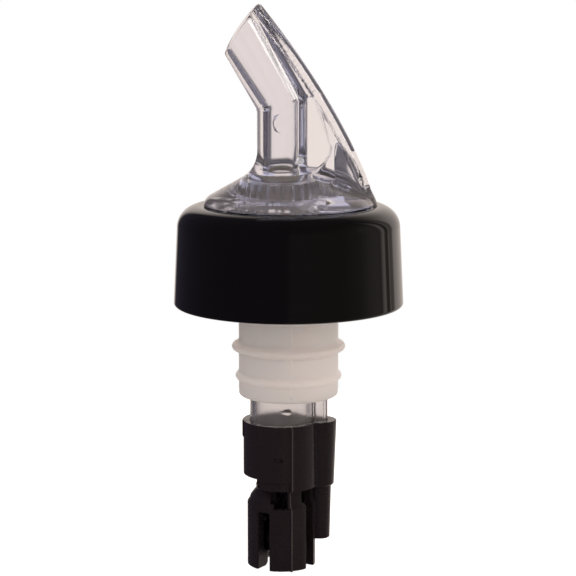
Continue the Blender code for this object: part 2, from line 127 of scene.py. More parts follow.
CHAMBER_SHOULDER = 0.5  # rounding where each tapering side turns flat
CHAMBER_EDGE = 0.2
DUCT = (6.5, 9.0)  # both ends, along X, of the way from the breather tube's socket to the chamber
DUCT_TOP = 6.0
DUCT_HALF = 0.6
MARK = (-0.95, 19.0)
MARK_RADIUS = 1.75
MARK_SLANT = 0.42
MARK_EDGE = 0.06

SOCKET_TOP = 7.2
SOCKET_GAP = 0.3
SOCKET_FLUTES = 24
SOCKET_FLUTE_DEPTH = 0.25
SEAT_POCKET_RADIUS = 4.9
SEAT_POCKET_TOP = 9.4
VENT_RADIUS = 0.6
VENT_Z = 7.0
VENT_START = 10  # along X, inside the chamber
SOCKET_EDGE = 0.15  # rounding of the sockets' and the vent's edges

STOPPER_RADIUS = 9.0
STOPPER_NECK_RADIUS = 9.25
STOPPER_STEP_Z = -16.4
STOPPER_CHAMFER = 0.6
STOPPER_TOP = 1  # where its round body ends, inside the flange
STOPPER_FINS = ((-21.5, 10.25, 1.15), (-26.9, 9.6, 1.1))  # height, radius, half width
STOPPER_FIN_ROOT = STOPPER_RADIUS - 0.5  # the radius from which a fin narrows
STOPPER_FIN_NOSE = 0.62  # half its width at its rounded rim
STOPPER_SEAM_X = 0.4  # a fine moulding line down the front
STOPPER_SEAM_HALF = 0.12
PRESS_GAP = 0.06  # between a tube and the hole that it is pressed into
FLANGE_RADIUS = 13.5
FLANGE_TOP = 1.7

BARREL_RADIUS = 5.7
BARREL_BORE = 4.7
BREATHER_RADIUS = 1.6
BREATHER_BORE = 0.85
BREATHER_TOP = 5.5
GATE_AZIMUTH = radians(11)
GATE_Z = -32.7
GATE_SIZES = (1.0, 0.15, 0.32)  # half sizes of the small blister left by the moulding gate

SLEEVE_TOP = -35.2
SLEEVE_BOTTOM = -47.2
SLEEVE_RADIUS = 6.95
SLEEVE_MARK = (PIPE_X - 0.6, -41.3)  # a shallow oval dent in the sleeve's front
SLEEVE_MARK_SIZES = (0.9, 0.3)
SLEEVE_MARK_DEPTH = 0.3
PAD = (-128, -80)  # a raised pad at the sleeve's upper left
PAD_BOTTOM = -38.2
PAD_HEIGHT = 0.2
CUP_NECK_RADIUS = 5.65
CUP_RIM = (5.75, -49.7)  # radius, height
CUP_EDGE_Z = -50.5
CAGE_RADIUS = 6.25
CAGE_BORE = 4.2
CAGE_BOTTOM = -62.2
BARREL_BOTTOM = -44.5
BARREL_STOP = BARREL_BOTTOM - 0.3  # the ledge in the cage that the barrel's end rests on
HOOK_TOP = -58.4
HOOK_EDGE_Z = -59.6
HOOK_RADIUS = 2.95
SLOT_WIDTH = 2.35
SLOTS = ((-32, -51.4), (58, -47.2), (130, -54), (194, -54))  # azimuth from -Y towards +X, top
PORTS = ((-123.5, 12), (40, 60))
RAMP = (-130, -21)  # where the large port's floor slopes up towards the bore
RAMP_EDGE = (6.2, -49.9)  # its outer radius and height
RAMP_SLOPE = 1.28
CORNER_AZIMUTH = radians(16.5)
CORNER_HALF = radians(18.7)  # from the front finger's corner to where its flat sides meet the round
CORNER_START = 3  # distance from the axis where the corner's block begins
NOTCH = (-125, -38)
NOTCH_Z = -45.15
PANEL = (-39, 13)
PANEL_TOP = -45.6
PANEL_STEP = 0.25
RIM_NOTCH = (-14, 11)
RIM_NOTCH_Z = -50.6
RIB_AZIMUTH = radians(16.5)
RIB_HALF = 0.4
RIB_HEIGHT = 0.2
RIB_HIGHLIGHT_HALF = 0.1  # half the width of the painted highlight line down the rib
# colour of the painted highlight line down the rib
RIB_HIGHLIGHT_COLOUR = (0.055, 0.05, 0.052)
LOBE_RADII = (3.25, 2.8)  # at the sleeve's top and bottom
TAIL_X = 5.7
TAIL_RADII = (2.1, 1.85)
TAIL_BOTTOM = -57.3
TAIL_BORE = 1.25
TAIL_LIP_RADIUS = 0.7
TAIL_LIP_Z = -56.6
TAIL_HOLE_TOP = -50
TAIL_EDGE = 0.14


# The studio around the part. Bearings run from straight behind towards +X. Sides, depths and heights are a
# direction's X, Y and Z.
WALL = (0.93, 0.825, 0.765)
WALL_BRIGHTNESS = (  # bearing in degrees, and how bright the surroundings are there
    (-23, 0.0),
    (-15, 1.0),
    (47, 1.0),
    (49, 0.35),
    (55, 0.3),
    (57, 0.7),
    (59, 0.1),
    (64, 0.1),
    (66, 0.8),
    (69, 0.75),
    (73, 0.15),
    (78, 0.2),
    (84, 0.22),
    (92, 0.2),
    (104, 0.1),
    (125, 0.05),
)
WALL_HEIGHTS = (0.35, 0.85)
ROOM_LEFT = (0.06, 0.055, 0.08)
ROOM_RIGHT = (0.06, 0.05, 0.05)
SKY = (0.70, 0.68, 0.86)  # a cool patch, high on the left and behind
SKY_HEIGHTS = (0.05, 0.4)
SKY_SIDES = (-0.5, 0.1)  # it fades out towards the right
SKY_DEPTHS = (-0.35, 0.1)
TABLE_HEIGHTS = (-0.3, -0.5)  # where the pale table below comes in
TABLE_STRENGTH = 0.15
FRONT_BEARINGS = (-2.15, -2.4)  # in radians, where the pale room in front on the left comes in
FRONT_STRENGTH = 0.8
RIGHT_START = (1.1, 1.35)  # bearings in radians where the pale room on the right comes in
RIGHT_END = (2.4, 2.1)  # and where it ends
RIGHT_STRENGTH = 0.5
SOFT_LEFT = (0.95, 0.81, 0.75)  # the light that falls on matt surfaces, from either side
SOFT_RIGHT = (1.28, 1.10, 1.00)
BACKDROP = (1, 1, 1)

FLOOR_RADIUS = 150
FLOOR_HOLE = 0.01
FLOOR_GAP = 0.2  # between the part's lowest point and the floor
FLOOR_DEPTH = 0.8

CAMERA_PLACE = (-0.0001, -0.3598, 0.0499)  # in metres
CAMERA_DIP = 9.606  # degrees that it looks down
CAMERA_LENS = 126.6
CAMERA_SENSOR = 36


# Distance fields. The last number in round_max, round_min and carve is the radius of the edge or fillet.


def round_max(a, b, radius):
    """What two fields share, with the edge between them rounded."""
    corner = np.hypot(np.maximum(radius + a, 0), np.maximum(radius + b, 0))
    return np.minimum(-radius, np.maximum(a, b)) + corner


def round_min(a, b, radius):
    """Two fields joined, with a fillet between them."""
    return -round_max(-a, -b, radius)


def carve(body, hole, radius):
    """A field with another taken out of it."""
    return round_max(body, -hole, radius)


def between(value, low, high):
    """The slab between two places on an axis."""
    return np.maximum(low - value, value - high)


def polygon(x, z, corners):
    """Distance to a closed outline, negative inside it."""
    nearest = np.inf
    outside = True
    for (ax, az), (bx, bz) in zip(corners, corners[1:] + corners[:1]):
        ex, ez = bx - ax, bz - az
        wx, wz = x - ax, z - az
        share = np.clip((wx * ex + wz * ez) / (ex * ex + ez * ez), 0, 1)
        nearest = np.minimum(nearest, (wx - ex * share) ** 2 + (wz - ez * share) ** 2)
        above, below, left = z >= az, z < bz, ex * wz > ez * wx
        crossed = (above & below & left) | ~(above | below | left)
        outside = outside ^ crossed
    return np.where(outside, 1, -1) * np.sqrt(nearest)


def ellipsoid(point, centre, halves):
    """Roughly the distance to an ellipsoid, or to an oval when there are only two coordinates."""
    squares = sum(((place - middle) / half) ** 2 for place, middle, half in zip(point, centre, halves))
    return (np.sqrt(squares) - 1) * min(halves)


def azimuth_about(x, y, axis_x):
    """Angle about an upright axis, from -Y towards +X."""
    return np.arctan2(x - axis_x, -y)


def wedge(radius, azimuth, start, stop):
    """The sector between two azimuths, given in degrees."""
    middle, half = radians(start + stop) / 2, radians(stop - start) / 2
    apart = np.abs((azimuth - middle + pi) % (2 * pi) - pi) - half
    return radius * np.sin(np.clip(apart, -pi / 2, pi / 2))


# Spout


def on_pipe(x, z):
    """A point's place across and along the nozzle's axis, which bends; along is 0 at the bend."""
    dx, dz = x - PIPE_X, z - BEND_Z
    half = NOZZLE_LEAN / 2
    past = np.clip((dz * cos(half) - dx * sin(half)) / BEND_SOFT, -1, 1)
    share = 0.5 + past * (3 - past**2) / 4
    across = dx * (1 - share) + (dx * cos(NOZZLE_LEAN) + dz * sin(NOZZLE_LEAN)) * share
    along = dz * (1 - share) + (dz * cos(NOZZLE_LEAN) - dx * sin(NOZZLE_LEAN)) * share
    return across, along


def dome_ring(x, y):
    """Radius of the dome's ring through a point.

    The rings move from the pipe's axis to the dome's as they widen.
    """
    shift = PIPE_X / (DOME_RADIUS - NOZZLE_RADIUS)
    dx = x - shift * DOME_RADIUS
    root = np.sqrt((shift * dx) ** 2 + (1 - shift**2) * (dx**2 + y**2))
    wide = (shift * dx + root) / (1 - shift**2)
    return np.where(wide > NOZZLE_RADIUS, wide, np.hypot(x - PIPE_X, y))


def dome_and_nozzle(x, y, z, nozzle):
    """The nozzle standing on the dome, with a wide fillet between them."""
    ring = dome_ring(x, y)
    cone = (z - DOME_FOOT + (ring - NOZZLE_RADIUS) * tan(DOME_SLOPE)) * cos(DOME_SLOPE)
    sweep = pi / 2 - DOME_SLOPE
    centre_r = NOZZLE_RADIUS + DOME_FILLET
    centre_z = DOME_FOOT + DOME_FILLET * tan(sweep / 2)
    turn = np.arctan2(centre_z - z, centre_r - ring)
    fillet = DOME_FILLET - np.hypot(ring - centre_r, z - centre_z)
    skin = np.where((turn > 0) & (turn < sweep), fillet, np.minimum(nozzle, cone))
    rimmed = round_max(skin, ring - DOME_RADIUS, DOME_EDGE)
    based = round_max(rimmed, DOME_BASE - z, DOME_BASE_EDGE)
    boss = np.maximum(np.hypot(x, y) - BOSS_RADIUS, between(z, BOSS_BOTTOM, DOME_BASE + 1))
    return np.minimum(based, boss)


def fin_back(x, z):
    """Distance to the fin's curved back, which is a quadratic curve from its tip to its base."""
    (x0, z0), (x1, z1), (x2, z2) = FIN_TIP, FIN_PULL, FIN_BASE
    a, b = z0 - 2 * z1 + z2, z0 - z1
    t = (b - np.sqrt(np.maximum(b * b - a * (z0 - z), 0))) / a
    back = (1 - t) ** 2 * x0 + 2 * t * (1 - t) * x1 + t**2 * x2
    slope = ((1 - t) * (x1 - x0) + t * (x2 - x1)) / ((1 - t) * (z1 - z0) + t * (z2 - z1))
    return (x - back) / np.sqrt(1 + slope**2)


def air_chamber(x, y, z):
    """The leaf-shaped hollow in the fin's root that the breather tube vents into."""
    sides = (np.abs(y) - CHAMBER_TAPER * (x - CHAMBER_LEFT)) / sqrt(1 + CHAMBER_TAPER**2)
    leaf = round_max(sides, np.abs(y) - CHAMBER_HALF, CHAMBER_SHOULDER)
    hollow = round_max(leaf, polygon(x, z, CHAMBER) - CHAMBER_ROUND, CHAMBER_EDGE)
    duct = np.maximum(np.maximum(between(x, *DUCT), np.abs(y) - DUCT_HALF), z - DUCT_TOP)
    return np.minimum(hollow, duct)


def crescent(x, y, z):
    """A slanted round imprint in the nozzle's front, deep enough to show on its left only."""
    dx, dz = x - MARK[0], z - MARK[1]
    return np.maximum(np.hypot(dx, dz) - MARK_RADIUS, y + NOZZLE_RADIUS + MARK_SLANT * dx)


def mouth_cut(x, y, z):
    """Height above the mouth's slanted, slightly bulging plane."""
    lip_x, lip_z = x - MOUTH_LIP[0], z - MOUTH_LIP[1]
    along_mouth = (lip_x * cos(MOUTH_ANGLE) + lip_z * sin(MOUTH_ANGLE)) / MOUTH_HALF - 1
    bulge = MOUTH_BULGE * np.maximum(1 - along_mouth**2, 0)
    return lip_z * cos(MOUTH_ANGLE) - lip_x * sin(MOUTH_ANGLE) - bulge - MOUTH_SKEW * y


def bend_ridge(x, z):
    """How far the fine line round the bend stands proud."""
    half = NOZZLE_LEAN / 2
    from_bend = np.abs((z - BEND_Z) * cos(half) - (x - PIPE_X) * sin(half)) / BEND_RIDGE_HALF
    return BEND_RIDGE * np.maximum(1 - from_bend, 0)


def with_fin(body, x, y, z, across):
    """The body with its fin, up to the mouth's plane."""
    mouth = mouth_cut(x, y, z)
    back = fin_back(x, z)
    sink = FIN_SINK * np.clip((back + FIN_BORDER) / FIN_STEP + 0.5, 0, 1)
    fin = round_max(round_max(back, mouth, TIP_ROUND), np.abs(y) - FIN_HALF + sink, FIN_EDGE)
    fin = np.maximum(fin, np.maximum(-across, FIN_BOTTOM - z))
    rise = np.clip((z - FIN_FOOT[0]) / (FIN_FOOT[1] - FIN_FOOT[0]), 0, 1)
    rise = np.maximum(rise, np.clip((np.hypot(x, y) - FIN_RIM[0]) / (FIN_RIM[1] - FIN_RIM[0]), 0, 1))
    fillet = FIN_FOOT_FILLET + (FIN_FILLET - FIN_FOOT_FILLET) * rise
    return round_max(round_min(body, fin, fillet), mouth, MOUTH_EDGE)


def with_sockets(body, x, y, z):
    """The body with the barrel's and the breather tube's sockets, the seat's pocket and the vent."""
    from_pipe = np.hypot(x - PIPE_X, y)
    flute = SOCKET_FLUTE_DEPTH * (0.5 + 0.5 * np.cos(SOCKET_FLUTES * azimuth_about(x, y, PIPE_X)))
    holes = (
        np.maximum(from_pipe - BARREL_RADIUS - SOCKET_GAP - flute, z - SOCKET_TOP),
        np.maximum(from_pipe - SEAT_POCKET_RADIUS, z - SEAT_POCKET_TOP),
        np.maximum(np.hypot(x - BREATHER_X, y) - BREATHER_RADIUS - SOCKET_GAP, z - SOCKET_TOP),
        np.maximum(np.hypot(y, z - VENT_Z) - VENT_RADIUS, VENT_START - x),
    )
    for hole in holes:
        body = carve(body, hole, SOCKET_EDGE)
    return body


def spout_field(x, y, z):
    across, along = on_pipe(x, z)
    from_axis = np.hypot(across, y)
    body = dome_and_nozzle(x, y, z, from_axis - NOZZLE_RADIUS - bend_ridge(x, z))
    body = with_fin(body, x, y, z, across)
    window = np.maximum(polygon(x, z, WINDOW) - WINDOW_ROUND, WEB_HALF - np.abs(y))
    bore = from_axis - BORE_RADIUS - BORE_GROWTH * np.maximum(along, 0)
    body = carve(body, window, WINDOW_EDGE)
    body = carve(body, bore, MOUTH_EDGE)
    body = carve(body, crescent(x, y, z), MARK_EDGE)
    body = carve(body, air_chamber(x, y, z), CHAMBER_EDGE)
    return with_sockets(body, x, y, z)


# Stopper, barrel and tail


def stopper_field(x, y, z):
    radius = np.hypot(x, y)
    body = round_max(radius - STOPPER_RADIUS, between(z, STOPPER_BOTTOM, STOPPER_TOP), STOPPER_CHAMFER)
    neck = round_max(radius - STOPPER_NECK_RADIUS, between(z, STOPPER_STEP_Z, STOPPER_TOP), 0.12)
    flange = round_max(radius - FLANGE_RADIUS, between(z, 0, FLANGE_TOP), 0.5)
    body = round_min(np.minimum(body, neck), flange, 0.5)
    for height, reach, half in STOPPER_FINS:
        length = reach - STOPPER_FIN_NOSE - STOPPER_FIN_ROOT
        run = np.clip((radius - STOPPER_FIN_ROOT) / length, 0, 1)
        thick = half + (STOPPER_FIN_NOSE - half) * run
        bead = np.hypot(radius - STOPPER_FIN_ROOT - run * length, z - height) - thick
        body = round_min(body, bead, 0.25)
    seam_y = -sqrt(STOPPER_RADIUS**2 - STOPPER_SEAM_X**2)
    seam = np.hypot(x - STOPPER_SEAM_X, y - seam_y) - STOPPER_SEAM_HALF
    body = round_min(body, np.maximum(seam, between(z, STOPPER_BOTTOM + 1, STOPPER_STEP_Z + 5)), 0.1)
    body = carve(body, np.hypot(x - PIPE_X, y) - BARREL_RADIUS - PRESS_GAP, 0.25)
    return carve(body, np.hypot(x - BREATHER_X, y) - BREATHER_RADIUS - PRESS_GAP, 0.2)


def barrel_field(x, y, z):
    from_pipe = np.hypot(x - PIPE_X, y)
    from_tube = np.hypot(x - BREATHER_X, y)
    barrel = round_max(from_pipe - BARREL_RADIUS, between(z, BARREL_BOTTOM, BARREL_TOP), 0.2)
    tube = round_max(from_tube - BREATHER_RADIUS, between(z, BARREL_BOTTOM, BREATHER_TOP), 0.2)
    body = round_min(barrel, tube, 0.3)
    gate_x = PIPE_X + BARREL_RADIUS * sin(GATE_AZIMUTH)
    gate_y = -BARREL_RADIUS * cos(GATE_AZIMUTH)
    body = round_min(body, ellipsoid((x, y, z), (gate_x, gate_y, GATE_Z), GATE_SIZES), 0.1)
    body = carve(body, from_pipe - BARREL_BORE, 0.2)
    return carve(body, from_tube - BREATHER_BORE, 0.15)


def sleeve_and_cage(radius, azimuth, z):
    """The sleeve and the cage's round outside, with a raised pad and a sunk panel."""
    outline = (
        (0, SLEEVE_TOP),
        (SLEEVE_RADIUS - TAIL_EDGE, SLEEVE_TOP),
        (SLEEVE_RADIUS - TAIL_EDGE, SLEEVE_BOTTOM + TAIL_EDGE),
        (CUP_NECK_RADIUS - TAIL_EDGE, SLEEVE_BOTTOM + TAIL_EDGE),
        (CUP_RIM[0] - TAIL_EDGE, CUP_RIM[1]),
        (CAGE_RADIUS - TAIL_EDGE, CUP_EDGE_Z),
        (CAGE_RADIUS - TAIL_EDGE, CAGE_BOTTOM + TAIL_EDGE),
        (0, CAGE_BOTTOM + TAIL_EDGE),
    )
    body = polygon(radius, z, outline) - TAIL_EDGE
    body = round_max(body, z - SLEEVE_TOP, TAIL_EDGE)
    pad = round_max(radius - SLEEVE_RADIUS - PAD_HEIGHT, wedge(radius, azimuth, *PAD), 0.2)
    pad = np.maximum(round_max(pad, between(z, PAD_BOTTOM, SLEEVE_TOP), 0.15), 1 - radius)
    body = round_min(body, pad, 0.1)
    panel = np.maximum(wedge(radius, azimuth, *PANEL), between(z, SLEEVE_BOTTOM - 0.3, PANEL_TOP))
    panel = np.maximum(panel, SLEEVE_RADIUS - PANEL_STEP - radius)
    return carve(body, panel, 0.08)


def with_ribs(body, radius, azimuth, z):
    """The body with the fine rib down the sleeve, and a finer one down the cage's corner."""
    for reach, half, proud, top, bottom in (
        (SLEEVE_RADIUS, RIB_HALF, RIB_HEIGHT, SLEEVE_TOP - 0.4, SLEEVE_BOTTOM),
        (CAGE_RADIUS / cos(CORNER_HALF), RIB_HALF / 2, RIB_HEIGHT / 2, CUP_EDGE_Z, CAGE_BOTTOM),
    ):
        sideways = np.abs(radius * np.sin(azimuth - RIB_AZIMUTH)) - half
        rib = round_max(sideways, between(radius, reach - 1, reach + proud), 0.1)
        rib = np.maximum(rib, np.maximum(between(z, bottom, top), np.abs(azimuth - RIB_AZIMUTH) - 1))
        body = round_min(body, rib, 0.06)
    return body


def front_corner(radius, azimuth, z):
    """The two flat sides of the front finger, which meet in an upright edge."""
    corner = between(z, CAGE_BOTTOM + TAIL_EDGE, CUP_EDGE_Z)
    for turn in (CORNER_AZIMUTH - CORNER_HALF, CORNER_AZIMUTH + CORNER_HALF):
        corner = np.maximum(corner, radius * np.cos(azimuth - turn) - CAGE_RADIUS)
    sides = np.abs(radius * np.sin(azimuth - CORNER_AZIMUTH)) - radius * sin(CORNER_HALF)
    start = CORNER_START - radius * np.cos(azimuth - CORNER_AZIMUTH)
    return np.maximum(corner, np.maximum(sides, start))


def with_ports(body, radius, azimuth, z):
    """The body with its ports, the notches above and below them, and the slots between the fingers."""
    slope = (z - RAMP_EDGE[1] - (RAMP_EDGE[0] - radius) * RAMP_SLOPE) / sqrt(1 + RAMP_SLOPE**2)
    slope = np.maximum(slope, wedge(radius, azimuth, *RAMP))
    for start, stop in PORTS:
        port = np.maximum(wedge(radius, azimuth, start, stop), between(z, CUP_RIM[1], SLEEVE_BOTTOM))
        port = np.maximum(port, -slope)
        body = carve(body, port, TAIL_EDGE)
    notch = np.maximum(wedge(radius, azimuth, *NOTCH), between(z, SLEEVE_BOTTOM - 0.6, NOTCH_Z))
    body = carve(body, notch, TAIL_EDGE)
    dip = np.maximum(wedge(radius, azimuth, *RIM_NOTCH), between(z, RIM_NOTCH_Z, CUP_RIM[1] + 0.6))
    body = carve(body, dip, 0.1)
    for degrees, top in SLOTS:
        turned_to = azimuth - radians(degrees)
        slot = np.abs(radius * np.sin(turned_to)) - SLOT_WIDTH / 2
        slot = round_max(np.maximum(slot, -radius * np.cos(turned_to)), z - top, 0.3)
        body = carve(body, slot, 0.16)
    return body


def with_breather_bore(body, from_tube, z):
    """The body with the breather tube's socket, and below it the small ball's space and its outlet."""
    socket = np.maximum(from_tube - BREATHER_RADIUS - PRESS_GAP, BARREL_STOP - z)
    body = carve(body, socket, TAIL_EDGE)
    body = carve(body, np.maximum(from_tube - TAIL_BORE, between(z, TAIL_LIP_Z, BARREL_BOTTOM)), 0.1)
    return carve(body, np.maximum(from_tube - TAIL_LIP_RADIUS, z - TAIL_HOLE_TOP), 0.15)


def tail_field(x, y, z):
    radius = np.hypot(x - PIPE_X, y)
    azimuth = azimuth_about(x, y, PIPE_X)
    body = with_ribs(sleeve_and_cage(radius, azimuth, z), radius, azimuth, z)
    body = np.minimum(body, front_corner(radius, azimuth, z))
    body = with_ports(body, radius, azimuth, z)
    body = round_min(body, breather_tail(x, y, z), 0.25)
    body = carve(body, cage_bore(radius, z), TAIL_EDGE)
    body = with_breather_bore(body, np.hypot(x - BREATHER_X, y), z)
    mark = ellipsoid((x, z), SLEEVE_MARK, SLEEVE_MARK_SIZES)
    return carve(body, np.maximum(mark, y + SLEEVE_RADIUS - SLEEVE_MARK_DEPTH), 0.1)


def breather_tail(x, y, z):
    """The lobe beside the sleeve and the thin tube that hangs from it."""
    share = (z - SLEEVE_BOTTOM) / (SLEEVE_TOP - SLEEVE_BOTTOM)
    lobe_radius = LOBE_RADII[1] + (LOBE_RADII[0] - LOBE_RADII[1]) * share
    lobe = np.hypot(x - BREATHER_X, y) - lobe_radius
    lobe = round_max(lobe, between(z, SLEEVE_BOTTOM, SLEEVE_TOP), 0.2)
    share = (z - TAIL_BOTTOM) / (SLEEVE_BOTTOM - TAIL_BOTTOM)
    tube_radius = TAIL_RADII[1] + (TAIL_RADII[0] - TAIL_RADII[1]) * share
    tube = np.hypot(x - TAIL_X, y) - tube_radius
    tube = round_max(tube, between(z, TAIL_BOTTOM, SLEEVE_BOTTOM + 2), 0.2)
    return round_min(lobe, tube, 0.3)


def cage_bore(radius, z):
    """The space for the ball, narrowing to the hooks at the fingers' ends."""
    half = (
        (-1, SLEEVE_TOP + 2),
        (BARREL_RADIUS + PRESS_GAP, SLEEVE_TOP + 2),
        (BARREL_RADIUS + PRESS_GAP, BARREL_STOP),
        (CAGE_BORE, BARREL_STOP - 0.3),
        (CAGE_BORE, HOOK_TOP),
        (HOOK_RADIUS, HOOK_EDGE_Z),
        (HOOK_RADIUS, CAGE_BOTTOM + 0.6),
        (HOOK_RADIUS + 1.6, CAGE_BOTTOM - 1),
        (-1, CAGE_BOTTOM - 1),
    )
    return polygon(radius, z, half)


# Meshes


def steepest(field, points):
    """The field's slope at each point."""
    step = 0.01
    slopes = []
    for axis in range(3):
        ahead, behind = points.copy(), points.copy()
        ahead[:, axis] += step
        behind[:, axis] -= step
        slopes.append((field(*ahead.T) - field(*behind.T)) / (2 * step))
    return np.stack(slopes, axis=1)


def surface_cells(values):
    """The grid's cells that the surface passes through, and its mean crossing with each cell's edges."""
    inside = values < 0
    shape = np.array(values.shape) - 1
    corners = [np.array(corner) for corner in itertools.product((0, 1), repeat=3)]
    filled = np.zeros(shape, np.int8)
    for corner in corners:
        filled += inside[tuple(slice(c, c + n) for c, n in zip(corner, shape))]
    cells = np.argwhere((filled > 0) & (filled < 8))
    total = np.zeros((len(cells), 3))
    crossings = np.zeros((len(cells), 1))
    for corner in corners:
        for axis in range(3):
            if corner[axis]:
                continue
            other = corner.copy()
            other[axis] = 1
            a, b = values[tuple((cells + corner).T)], values[tuple((cells + other).T)]
            hit = (a < 0) != (b < 0)
            share = a[hit] / (a[hit] - b[hit])
            total[hit] += corner + share[:, None] * (other - corner)
            crossings[hit] += 1
    return cells, total / crossings


def surface_faces(values, cells):
    """A face across each grid edge that the surface crosses, joining the four cells around it."""
    number = np.full(np.array(values.shape) - 1, -1)
    number[tuple(cells.T)] = np.arange(len(cells))
    inside = (values < 0).astype(np.int8)
    faces = []
    for axis in range(3):
        change = np.diff(inside, axis=axis)
        edges = np.argwhere(change)
        one, two = np.eye(3, dtype=int)[(axis + 1) % 3], np.eye(3, dtype=int)[(axis + 2) % 3]
        around = (edges - one - two, edges - two, edges, edges - one)
        quads = np.stack([number[tuple(cell.T)] for cell in around], axis=1)
        entering = change[tuple(edges.T)] > 0
        quads[entering] = quads[entering][:, ::-1]
        faces.append(quads)
    return np.concatenate(faces)


def moulded(name, field, low, high, cell):
    """A piece whose surface is the field's zero level, inside a box in millimetres."""
    sides = [np.arange(a - 2 * cell, b + 3 * cell, cell) for a, b in zip(low, high)]
    grid = np.meshgrid(*sides, indexing="ij", sparse=True)
    values = np.broadcast_to(field(*grid), [len(side) for side in sides])
    cells, places = surface_cells(values)
    faces = surface_faces(values, cells)
    points = np.array([side[0] for side in sides]) + cell * (cells + places)
    for _ in range(3):
        slope = steepest(field, points)
        step = field(*points.T) / np.maximum((slope**2).sum(1), 0.4)
        points -= np.clip(step, -cell / 2, cell / 2)[:, None] * slope
    mesh = bpy.data.meshes.new(name)
    mesh.from_pydata(points * MM, [], faces)
    mesh.shade_smooth()
    normals = steepest(field, points)
    normals /= np.maximum(np.linalg.norm(normals, axis=1), 1e-6)[:, None]
    mesh.normals_split_custom_set_from_vertices(normals)
    return placed(name, mesh)


def placed(name, mesh):
    made = bpy.data.objects.new(name, mesh)
    bpy.context.scene.collection.objects.link(made)
    return made


def arc(centre, width, height, start, stop, steps):
    """Points on an ellipse's arc, from one angle to another in degrees."""
    turns = [radians(start + (stop - start) * i / steps) for i in range(steps + 1)]
    return [(centre[0] + width * cos(a), centre[1] + height * sin(a)) for a in turns]


def turned(name, profile, axis_x, segments):
    """A closed profile of (radius, height) points turned about an upright axis."""
    shape = bmesh.new()
    ring = [shape.verts.new((r * MM, 0, z * MM)) for r, z in profile]
    edges = [shape.edges.new((a, b)) for a, b in zip(ring, ring[1:] + ring[:1])]
    bmesh.ops.spin(
        shape,
        geom=ring + edges,
        cent=(0, 0, 0),
        axis=(0, 0, 1),
        angle=2 * pi,
        steps=segments,
        use_merge=True,
    )
    bmesh.ops.recalc_face_normals(shape, faces=shape.faces)
    bmesh.ops.translate(shape, verts=shape.verts, vec=(axis_x * MM, 0, 0))
    mesh = bpy.data.meshes.new(name)
    shape.to_mesh(mesh)
    shape.free()
    mesh.shade_smooth()
    made = placed(name, mesh)
    made.modifiers.new("even_shading", "WEIGHTED_NORMAL")
    return made


def collar():
    """The cap: a flat top, a broad rounded shoulder, a slightly flared skirt and a rounded lower lip."""
    low, high = (Vector(corner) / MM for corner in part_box("collar"))
    radius, bottom, top = high.x, low.z, high.z
    flat, shoulder, shoulder_z = 15.9, 20.0, 0.2
    wall, ceiling, hole, lip, edge = 1.6, 2.0, BOSS_RADIUS + 0.3, 0.6, 0.25
    profile = arc((hole + edge, top - edge), edge, edge, 180, 90, 4)
    profile += arc((flat, shoulder_z), shoulder - flat, top - shoulder_z, 90, 0, 40)
    profile += arc((radius - lip, bottom + lip), lip, lip, 0, -90, 10)
    profile += arc((radius - wall + edge, bottom + edge), edge, edge, 270, 180, 5)
    inner = flat - wall / 2
    profile += arc((inner, shoulder_z), shoulder - flat - wall / 2, ceiling - shoulder_z, 0, 90, 20)
    profile += arc((hole + edge, ceiling + edge), edge, edge, 270, 180, 4)
    return turned("collar_cap", profile, 0, 220)


def valve_seat():
    outer, bore, bottom, edge_z, top, edge = 4.6, 2.9, 7.4, 8.0, 9.1, 0.15
    profile = arc((outer - edge, top - edge), edge, edge, 90, 0, 4)
    profile += arc((outer - edge, bottom + edge), edge, edge, 0, -90, 4)
    profile += [(bore + edge_z - bottom, bottom), (bore, edge_z)]
    profile += arc((bore + edge, top - edge), edge, edge, 180, 90, 4)
    return turned("valve_seat_ring", profile, PIPE_X, 96)


def ball(name, node):
    """A fine ball in the place of a CAD one."""
    low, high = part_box(node)
    shape = bmesh.new()
    bmesh.ops.create_uvsphere(shape, u_segments=96, v_segments=48, radius=(high.z - low.z) / 2)
    bmesh.ops.translate(shape, verts=shape.verts, vec=(low + high) / 2)
    mesh = bpy.data.meshes.new(name)
    shape.to_mesh(mesh)
    shape.free()
    mesh.shade_smooth()
    return placed(name, mesh)


# Materials


